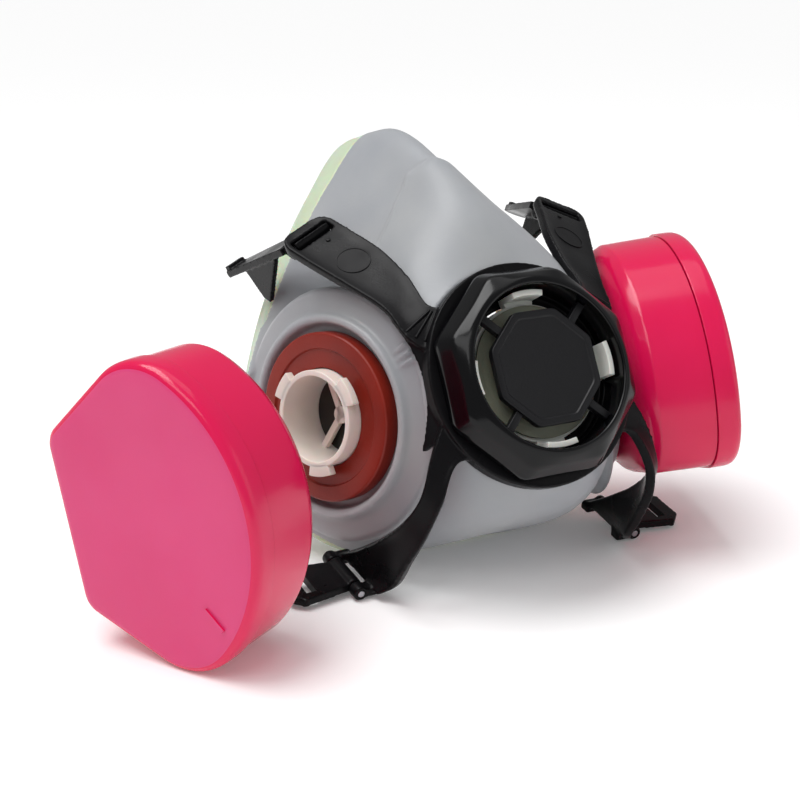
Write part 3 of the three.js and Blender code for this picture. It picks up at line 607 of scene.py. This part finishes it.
def plate(stations, steps, thickness=PLATE, rim=0.0, end_radius=0.0):
    """An arm's plate between two smooth edges, with a raised rim along them."""
    outer, normals = arm_rows(stations, steps, end_radius)
    crown = rim * (2 * np.abs(np.linspace(0, 1, 13) - 0.5)) ** 6
    shown = outer + normals[:, None] * crown[None, :, None]
    inner = outer - normals[:, None] * thickness
    rows, columns = outer.shape[:2]
    section = np.concatenate((shown, inner[:, ::-1]), axis=1)
    faces = grid_faces(rows, 2 * columns, False, True)
    faces.append(tuple(range(2 * columns))[::-1])
    faces.append(tuple(range((rows - 1) * 2 * columns, rows * 2 * columns)))
    return Shape(section.reshape(-1, 3), faces)


def on_arm(stations, along, across):
    """A frame on an arm's outer face: X across it, Y along it to its free end, Z outwards."""
    steps = 60
    rows, normals = arm_rows(stations, steps)
    row = min(int(round(along * steps)), steps - 1)
    column = min(int(round(across * 12)), 12)
    y = Vector(rows[row + 1, column] - rows[row, column]).normalized()
    z = Vector(normals[row])
    x = y.cross(z).normalized()
    return basis(x, z.cross(x), z, Vector(rows[row, column]))


def arm_marks():
    """Moulded marks of an upper arm: ribs across its root, a thin round line and a dimple's rim."""
    made = Shape([], [])
    for along in (0.1, 0.15, 0.2):
        made += along_bar(rod(0.45, -4.6, 4.6, 16)).moved(on_arm(UPPER_ARM, along, 0.5) @ shift(0, 0, 0.05))
    made += tube(4.5, 4.9, -0.5, 0.18, 64, 0.05).moved(on_arm(UPPER_ARM, 0.66, 0.5))
    made += rod(0.7, -0.5, 0.35, 24).moved(on_arm(UPPER_ARM, 0.84, 0.45))
    return made


def bar_place(start, end, strapward):
    """A frame on a strap bar: X along the bar, Y out to the strap, Z off the plate's outer face."""
    start, end, strapward = Vector(start), Vector(end), Vector(strapward)
    x = (end - start).normalized()
    y = (strapward - x * strapward.dot(x)).normalized()
    return basis(x, y, x.cross(y), (start + end) / 2)


UPPER_ENDS = ((-50.6, 43.4, 51.2), (-35, 43.6, 58.8))
SLOT_FRAME = bar_place(*UPPER_ENDS, (-0.35, 0.64, 0.69))
BAR_MIDDLE = SLOT_FRAME @ Vector((0, -0.9, -PLATE / 2))
CLIP_FRAME = {side: bar_place(*UPPER_ENDS, strapward) for side, strapward in
              (("left", (0, 1, 0.17)), ("right", (0, 0.9, 0.42)))}
for clip_frame in CLIP_FRAME.values():
    clip_frame.translation = BAR_MIDDLE
LOWER_ENDS = ((-46.4, 48.6, -48.4), (-47, 66.4, -34.4))
BUCKLE_FRAME = bar_place(*LOWER_ENDS, (-0.996, 0.072, 0.038))
SLOT = {"length": 13.4, "near": -6, "far": -1.8}
HOOK = {"bore": 2.5, "outer": 4, "length": 12.4}
CLIP = {"length": 44, "root": 15, "tip": 8, "skew": -3.5, "thickness": 2.2}
KNUCKLE = {"outer": 2.2, "bore": 1.1, "pin": 1.02, "length": 21, "ear": 4}
BUCKLE = {"length": 19, "root": 21, "tip": 17, "thickness": 2.4}


def along_bar(shape):
    """A shape turned from about Z to about the bar, X."""
    return shape.moved(rot("Y", 90))


def ears():
    outer, length, ear = KNUCKLE["outer"], KNUCKLE["length"], KNUCKLE["ear"]
    made = Shape([], [])
    for x0 in (-length / 2, length / 2 - ear):
        made += along_bar(rod(outer, x0, x0 + ear, 48))
        made += block((ear, 6.5, 2.9), (x0 + ear / 2, -3.25, -0.1))
    return made


def collar():
    c = COLLAR
    profile = [(c["floor"], -c["back_y"]), (c["outer"], -c["back_y"]), (c["outer"], -c["front_y"]),
               (c["inner"], -c["front_y"]), (c["inner"], -c["floor_y"]), (c["floor"], -c["floor_y"])]
    return lathe(profile, 160, 0.4).moved(rot("X", 90))


def harness_yoke(material):
    side_shapes = plate(UPPER_ARM, 90, rim=0.5, end_radius=5)
    side_shapes += plate(LOWER_ARM, 70, rim=0.5)
    side_shapes += plate(WEB, 20)
    side_shapes += ears().moved(BUCKLE_FRAME)
    both = Shape([], [])
    for side in SIDES:
        both += side_shapes.moved(MASK_SIDE[side])
    made = new_object("yoke_arms", both, Matrix())
    moulded(made, 0.45, 0)
    hole = rod(PORT_HOLE_R, -30, 30, 160).moved(PORT_IN_MASK)
    slot = block((SLOT["length"], SLOT["far"] - SLOT["near"], 16), (0, (SLOT["far"] + SLOT["near"]) / 2, 0))
    bore = along_bar(rod(KNUCKLE["bore"], -20, 20, 32)).moved(BUCKLE_FRAME)
    middle = rod(COLLAR["outer"] - 2, -40, 0, 96).moved(rot("X", 90))
    cutters = [new_object("cutter", middle, MASK)]
    for side in SIDES:
        for cutter in (hole, slot.moved(SLOT_FRAME), bore):
            cutters.append(new_object("cutter", cutter, MASK_SIDE[side]))
    carve(made, *cutters)
    join_into(made, new_object("collar", collar(), MASK))
    moulded(made, 0.4, 3)
    marks = Shape([], [])
    for side in SIDES:
        marks += arm_marks().moved(MASK_SIDE[side])
    join_into(made, new_object("marks", marks, Matrix()))
    return piece("harness_yoke_moulding", made, "facepiece", ["harness_yoke"], material,
                 angle=0)


# ---------------------------------------------------------------- strap clips and buckles
def tongue(width, y0, y1, corner):
    root, tip, skew = width["root"] / 2, width["tip"] / 2, width.get("skew", 0)
    right, left = [[(side * root, y0), (skew + side * tip, y1 - corner), (skew + side * (tip - corner), y1)]
                   for side in (1, -1)]
    return prism(right + left[::-1], -width["thickness"] / 2, width["thickness"] / 2)


def strap_clip(side, material):
    inner, outer, half = HOOK["bore"], HOOK["outer"], HOOK["length"] / 2
    angles = np.radians(np.linspace(-190, 20, 40))
    ring = [(outer * math.cos(a), outer * math.sin(a)) for a in angles]
    ring += [(inner * math.cos(a), inner * math.sin(a)) for a in angles[::-1]]
    turn = Matrix(((0, 0, 1, 0), (1, 0, 0, 0), (0, 1, 0, 0), (0, 0, 0, 1)))
    shape = prism(ring, -half, half).moved(turn)
    shape += tongue(CLIP, inner + 0.6, CLIP["length"], 2.5)
    gusset = [(10, 0), (33, 0), (32, -11), (30, -13)]
    shape += prism(gusset, 0, 1.8).moved(turn).moved(shift(-CLIP["root"] / 2 + 1.6, 0, 0))
    shape += block((CLIP["tip"] - 2, 3, 1.6), (CLIP["skew"], CLIP["length"] - 3, 1.6))
    made = new_object("clip", shape, MASK_SIDE[side] @ CLIP_FRAME[side])
    moulded(made, 0.35, 2)
    node = f"{side}_strap_clip"
    return piece(f"{node}_moulding", made, node, [node], material, angle=0)


def strap_buckle(side, material):
    half = KNUCKLE["length"] / 2 - KNUCKLE["ear"] - GAP
    shape = along_bar(rod(KNUCKLE["outer"], -half, half, 48))
    shape += tongue({**BUCKLE, "root": 2 * half}, 0.5, BUCKLE["length"], 3)
    made = new_object("buckle", shape, MASK_SIDE[side] @ BUCKLE_FRAME)
    moulded(made, 0.35, 2)
    slot = block((BUCKLE["tip"] - 6, 3, 10), (0, BUCKLE["length"] - 6, 0))
    bore = along_bar(rod(KNUCKLE["bore"], -20, 20, 32))
    carve(made, *[new_object("cutter", cutter, MASK_SIDE[side] @ BUCKLE_FRAME) for cutter in (slot, bore)])
    node = f"{side}_strap_buckle"
    return piece(f"{node}_moulding", made, node, [node], material, angle=40)


def buckle_pin(side, material):
    half = KNUCKLE["length"] / 2
    shape = along_bar(rod(KNUCKLE["pin"], -half, half, 32))
    made = new_object("pin", shape, MASK_SIDE[side] @ BUCKLE_FRAME)
    return piece(f"{side}_buckle_pin_rod", made, "facepiece", [f"{side}_buckle_pin"], material)


# ---------------------------------------------------------------- valve
OCTAGON_POWER = 44  # how sharp the octagon's corners are


def valve_ring(radius, y, octagon, segments=240):
    """A ring about the valve's axis, between a circle (octagon 0) and a round-cornered octagon (1)."""
    angles = np.linspace(0, 2 * math.pi, segments, endpoint=False)
    apothem = math.cos(math.pi / 8)
    lobes = np.clip(np.cos(angles[:, None] - np.arange(8) * math.pi / 4), 0, None) / apothem
    shape = (lobes ** OCTAGON_POWER).sum(axis=1) ** (-1 / OCTAGON_POWER)
    reach = radius * ((1 - octagon) + octagon * shape)
    return np.stack((reach * np.cos(angles), np.full(segments, y), reach * np.sin(angles)), axis=1)


def valve_loft(sections, setback, loop):
    points = soften(sections, setback, closed=loop)
    return loft([valve_ring(radius, y, octagon) for radius, y, octagon in points], loop=loop)


def valve_cover(material):
    sections = [(22.6, 10, 0), (22.6, 0.4, 0), (23.2, 0, 0), (24.5, 0.5, 0), (28.6, 2.6, 1), (30.8, 7.6, 1),
                (30.8, 10, 1)]
    made = new_object("cover", valve_loft(sections, (0.3, 0.4, 0.4, 0.7, 1.1, 0.7, 0.3), True), MASK)
    return piece("valve_cover_ring", made, "facepiece", ["valve_cover"], material, angle=60)


def valve_guard(material):
    sections = [(0.01, 2.8, 1), (14.6, 2.8, 1), (15.0, 2.4, 1), (17, 2.4, 1), (17, 4.6, 1), (0.01, 4.6, 1)]
    shape = valve_loft(sections, (0, 0.2, 0.2, 0.5, 0.3, 0), False)
    for angle in (45, 135, 225, 315):
        shape += block((9, 2.4, 2.2), (22.3 - 4.5, 4.4, 0)).moved(rot("Y", -angle))
    made = new_object("guard", shape, MASK)
    return piece("valve_guard_disc", made, "facepiece", ["valve_guard"], material, bevel=0.25)


def exhalation_seat(material):
    turn = rot("X", 90)
    shape = tube(15, 19.2, -14, -9.4).moved(turn)
    for angle in (0, 90):
        shape += block((31, 1.6, 2), (0, 10.8, 0)).moved(rot("Y", angle))
    for angle in (0, 90, 180, 270):
        tab = sector(18.6, 21.8, 13, -11.7, -9.4) + sector(20.2, 21.8, 13, -9.8, -3.6)
        shape += tab.moved(rot("Z", angle)).moved(turn)
    made = new_object("seat", shape, MASK)
    return piece("exhalation_seat_ring", made, "facepiece", ["exhalation_seat"], material,
                 bevel=0.2)


def exhalation_flap(material):
    profile = [(0, -9.1), (18.4, -8.7), (18.4, -8), (16.5, -7.95), (15.5, -7.8), (0, -7.6)]
    made = new_object("flap", lathe(profile, 96, 0.15, loop=False).moved(rot("X", 90)), MASK)
    return piece("exhalation_flap_disc", made, "exhalation_flap", ["exhalation_flap"],
                 material)


# ---------------------------------------------------------------- ports
TUBE = {"outer": 13.7, "inner": 12.1, "top": 5.2, "back": -11, "flange": -9.4, "flange_r": 19}
LUG = {"reach": 2.6, "height": 2.5, "half_angle": 15, "at": (127, 15, -102)}
HUB_Z = -6.6
GASKET_FACE = {"left": 1.4, "right": 0.0}  # the clamped gasket is thinner than the free one


def bayonet_tube(side, material):
    t = TUBE
    profile = [(t["inner"], t["back"]), (t["flange_r"], t["back"]), (t["flange_r"], t["flange"]),
               (t["outer"], t["flange"]), (t["outer"], t["top"]), (t["inner"], t["top"])]
    shape = lathe(profile, 128, 0.35)
    for angle in LUG["at"]:
        lug = sector(t["outer"] - 0.8, t["outer"] + LUG["reach"], LUG["half_angle"],
                     t["top"] - LUG["height"], t["top"])
        shape += lug.moved(rot("Z", angle))
    shape += rod(2.6, HUB_Z - 0.9, HUB_Z + 0.9, 32)
    for angle in (95, 215, 335):
        shape += block((12.7, 2, 1.8), (6.25, 0, HUB_Z)).moved(rot("Z", angle))
    made = new_object("tube", shape, PORT[side])
    name = f"{side}_bayonet_tube"
    return piece(f"{name}_moulding", made, "facepiece", [name], material, bevel=0.25)


def gasket(side, material):
    top = GASKET_FACE[side]
    profile = [(14, -3.3), (24, -3.3), (24, top - 0.4), (23.5, top),
               (19.6, top), (19.2, top - 0.7), (14, top - 0.7)]
    made = new_object("gasket", lathe(profile, 128, (0.1, 0.1, 0.2, 0.2, 0.15, 0.15, 0.2)), PORT[side])
    return piece(f"{side}_gasket_ring", made, "facepiece", [f"{side}_gasket"], material)


def inhalation_flap(side, material):
    profile = [(0, -9.7), (11.6, -9.4), (11.6, -8.6), (0, -8.3)]
    made = new_object("flap", lathe(profile, 64, 0.1, loop=False), PORT[side])
    name = f"{side}_inhalation_flap"
    return piece(f"{name}_disc", made, name, [name], material)


# ---------------------------------------------------------------- cartridges
CARTRIDGE = {
    "arc_r": 45.3, "arc_x": -9.6, "shoulder_r": 18, "shoulder_angle": 52, "heel_r": 6, "heel_x": -9.2,
    "heel_y": 19.5, "depth": 33, "seam": 25.6, "shoulder": 9, "wall": 1.8, "proud": 0.6, "edge": 3.2,
    "neck_r": 26.5,
}


def outline(inset, z):
    """The cartridge's outline drawn in by inset: a wide arc, a shoulder and a heel, and a flat."""
    c = CARTRIDGE
    tangent = math.radians(c["shoulder_angle"])
    reach = c["arc_r"] - c["shoulder_r"]
    shoulder_x, shoulder_y = reach * math.cos(tangent), reach * math.sin(tangent)
    dx, dy = shoulder_x - c["heel_x"], shoulder_y - c["heel_y"]
    side = math.pi / 2 + math.atan2(dy, dx) + math.asin((c["shoulder_r"] - c["heel_r"]) / math.hypot(dx, dy))
    stretches = [(0, 0, c["arc_r"], 0, tangent, 40),
                 (shoulder_x, shoulder_y, c["shoulder_r"], tangent, side, 20),
                 (c["heel_x"], c["heel_y"], c["heel_r"], side, math.pi, 12)]
    arc, shoulder, heel = [
        [(c["arc_x"] + x + (radius - inset) * math.cos(angle), y + (radius - inset) * math.sin(angle))
         for angle in np.linspace(start, end, steps + 1)] for x, y, radius, start, end, steps in stretches]
    flat = (heel[-1][0], 0)
    upper = arc + shoulder[1:] + straight(shoulder[-1], heel[0]) + heel + straight(heel[-1], flat) + [flat]
    lower = [(x, -y) for x, y in upper[-2:0:-1]]
    return np.array([(x, y, z) for x, y in upper + lower])


def straight(start, end, steps=14):
    """The points between two others."""
    return [tuple(np.array(start) + (np.array(end) - start) * k / steps) for k in range(1, steps)]


def cartridge_ring(inset, z, radius=0.0, roundness=0.0):
    """The outline pushed out to at least a radius, or part of the way from it to a circle of that radius."""
    ring = outline(inset, z)
    turns = np.arctan2(ring[:, 1], ring[:, 0])
    around = np.stack((radius * np.cos(turns), radius * np.sin(turns), ring[:, 2]), axis=1)
    reach = np.hypot(ring[:, 0], ring[:, 1])
    ring = np.where((reach < radius)[:, None], around, ring)
    return ring * (1 - roundness) + around * roundness


def cartridge_loft(sections, setback):
    points = soften(sections, setback, 5)
    return loft([cartridge_ring(inset, z, radius, roundness) for inset, z, radius, roundness in points])


def cartridge_cover(side, material, painted_reflection_material):
    c = CARTRIDGE
    lip, face = c["seam"], c["depth"]
    outer = [(4, lip, 0, 0), (-c["proud"], lip, 0, 0), (-c["proud"], face, 0, 0), (5.6, face, 0, 0)]
    made = new_object("cover", cartridge_loft(outer, (0, 0.25, c["edge"], 0)), CARTRIDGE_PLACE[side])
    hollow = new_object("cutter", loft([outline(c["wall"], lip - 1), outline(c["wall"], face - c["wall"])]),
                        CARTRIDGE_PLACE[side])
    carve(made, hollow)
    rib = block((7, 1.2, 1), (36, 0, face + 0.1)).moved(shift(-4, 3, 0) @ rot("Z", -52))
    join_into(made, new_object("rib", rib, CARTRIDGE_PLACE[side]))
    name = f"{side}_cartridge_cover"
    shown = piece(f"{name}_cap", made, f"{side}_cartridge", [name], material, angle=40)
    # The outward face gets the lighter pink: a painted reflection of the white surroundings on the same
    # plastic.
    shown.data.materials.append(painted_reflection_material)
    out = (CARTRIDGE_PLACE[side].to_3x3() @ Vector((0, 0, 1))).normalized()
    for polygon in shown.data.polygons:
        if polygon.normal.dot(out) > 0.97:
            polygon.material_index = 1
    return shown


def cartridge_body(side, material):
    c = CARTRIDGE
    neck, back = c["neck_r"], c["shoulder"]
    outer = [(5, 1.6, neck, 1), (5, 3.4, neck + 0.5, 0), (2, 6, neck, 0), (0.4, back, neck, 0),
             (0, c["seam"] - GAP, neck, 0)]
    made = new_object("body", cartridge_loft(outer, (0, 1.2, 1.2, 0.5, 0)), CARTRIDGE_PLACE[side])
    bore = neck - c["wall"]
    inner = [(5, 1, bore, 1), (5, 3.6, bore, 1), (5.8, 5.6, bore + 0.5, 0), (c["wall"] + 2, back, bore, 0),
             (c["wall"], c["seam"] + 1, bore, 0)]
    carve(made, new_object("cutter", cartridge_loft(inner, 0), CARTRIDGE_PLACE[side]))
    name = f"{side}_cartridge_body"
    return piece(f"{name}_shell", made, f"{side}_cartridge", [name], material, angle=40)


def bayonet_plate(side, material):
    outer = CARTRIDGE["neck_r"] - CARTRIDGE["wall"] - 2 * GAP
    made = new_object("plate", lathe([(0, GAP), (outer, GAP), (outer, 2.3), (0, 2.3)], 128, 0.5, loop=False),
                      CARTRIDGE_PLACE[side])
    lugs = LUG["at"] if side == "left" else [angle + 35 - LOCKED_ROLL for angle in LUG["at"]]
    cutters = [rod(TUBE["outer"] + 0.6, -2, 5, 96)]
    for angle in lugs:
        notch = sector(TUBE["outer"] - 2, TUBE["outer"] + LUG["reach"] + 0.6, LUG["half_angle"] + 2.5, -2, 6)
        cutters.append(notch.moved(rot("Z", angle)))
    carve(made, *[new_object("cutter", cutter, CARTRIDGE_PLACE[side]) for cutter in cutters])
    name = f"{side}_bayonet_plate"
    return piece(f"{name}_disc", made, f"{side}_cartridge", [name], material, bevel=0.2)


# ---------------------------------------------------------------- stage
BACKDROP_LIGHT = 0.32


def studio():
    floor_mesh = bpy.data.meshes.new("floor")
    reach = 6.0
    corners = [(-reach, -reach, 0), (reach, -reach, 0), (reach, reach, 0), (-reach, reach, 0)]
    floor_mesh.from_pydata(corners, [], [(0, 1, 2, 3)])
    floor = bpy.data.objects.new("floor", floor_mesh)
    bpy.context.scene.collection.objects.link(floor)
    pale = Look("studio_floor", rgb(250, 250, 250), 0.75, Emission_Color=rgb(255, 255, 255),
                Emission_Strength=0.1)
    floor.data.materials.append(pale.material)
    bpy.context.scene.view_settings.view_transform = "Standard"
    white_backdrop(BACKDROP_LIGHT)


def white_backdrop(light):
    """A backdrop that the camera sees as white, and that lights the object less than that."""
    world = bpy.data.worlds.new("studio")
    bpy.context.scene.world = world
    world.use_nodes = True
    nodes, links = world.node_tree.nodes, world.node_tree.links
    strength = nodes.new("ShaderNodeMapRange")
    strength.inputs["To Min"].default_value = light
    strength.inputs["To Max"].default_value = 1.0
    links.new(nodes.new("ShaderNodeLightPath").outputs["Is Camera Ray"], strength.inputs["Value"])
    links.new(strength.outputs["Result"], nodes["Background"].inputs["Strength"])
    nodes["Background"].inputs["Color"].default_value = rgb(255, 255, 255)


def softbox(name, place, size, power, target):
    light = bpy.data.lights.new(name, "AREA")
    light.shape = "RECTANGLE"
    light.size, light.size_y = size
    light.energy = power
    made = bpy.data.objects.new(name, light)
    bpy.context.scene.collection.objects.link(made)
    made.location = place
    made.rotation_euler = (Vector(target) - Vector(place)).to_track_quat("-Z", "Y").to_euler()


def sun(direction, strength, spread):
    """Soft daylight that falls evenly on the whole floor, from a direction."""
    light = bpy.data.lights.new("sun", "SUN")
    light.energy = strength
    light.angle = math.radians(spread)
    made = bpy.data.objects.new("sun", light)
    bpy.context.scene.collection.objects.link(made)
    made.rotation_euler = Vector(direction).to_track_quat("Z", "Y").to_euler()


def lights():
    centre = (0, -0.02, 0.05)
    sun((-0.3, 0.15, 1), 2.1, 40)
    softbox("key", (-0.45, -0.35, 0.75), (0.5, 0.35), 1.5, centre)
    softbox("top", (0.1, 0.15, 0.9), (0.7, 0.5), 1.0, centre)
    softbox("fill", (0.7, -0.6, 0.35), (0.5, 0.6), 0.6, centre)


CAMERA_FROM_LIP = Vector((-206.5, -308.0, 106.7))
CAMERA_FORWARD = Vector((0.4418, 0.8449, -0.3016))
CAMERA_LENS = 65.2


def camera():
    data = bpy.data.cameras.new("camera")
    data.lens = CAMERA_LENS
    data.sensor_width = 36
    made = bpy.data.objects.new("camera", data)
    bpy.context.scene.collection.objects.link(made)
    made.location = (MASK_MM.translation + CAMERA_FROM_LIP) * MM
    made.rotation_euler = CAMERA_FORWARD.to_track_quat("-Z", "Y").to_euler()
    bpy.context.scene.camera = made


# ---------------------------------------------------------------- build
facepiece(silicone_look())
face_seal(seal_look())
satin = satin_black_look()
harness_yoke(satin)
valve_cover(gloss_black_look())
valve_guard(matt_black_look())
exhalation_seat(white_look())
exhalation_flap(flap_look())
cream, rubber, dark, steel = cream_look(), gasket_look(), dark_flap_look(), steel_look()
# face is the cover's pink with a painted reflection lightening it.
pink, face, media = pink_look(), pink_face_painted_reflection_look(), media_look()
for side in SIDES:
    strap_clip(side, satin)
    strap_buckle(side, satin)
    buckle_pin(side, steel)
    bayonet_tube(side, cream)
    gasket(side, rubber)
    inhalation_flap(side, dark)
    cartridge_cover(side, pink, face)
    cartridge_body(side, pink)
    bayonet_plate(side, pink)
    node = frame["nodes"][f"{side}_filter_pack"]
    node.data.materials.clear()
    node.data.materials.append(media)

studio()
lights()
camera()
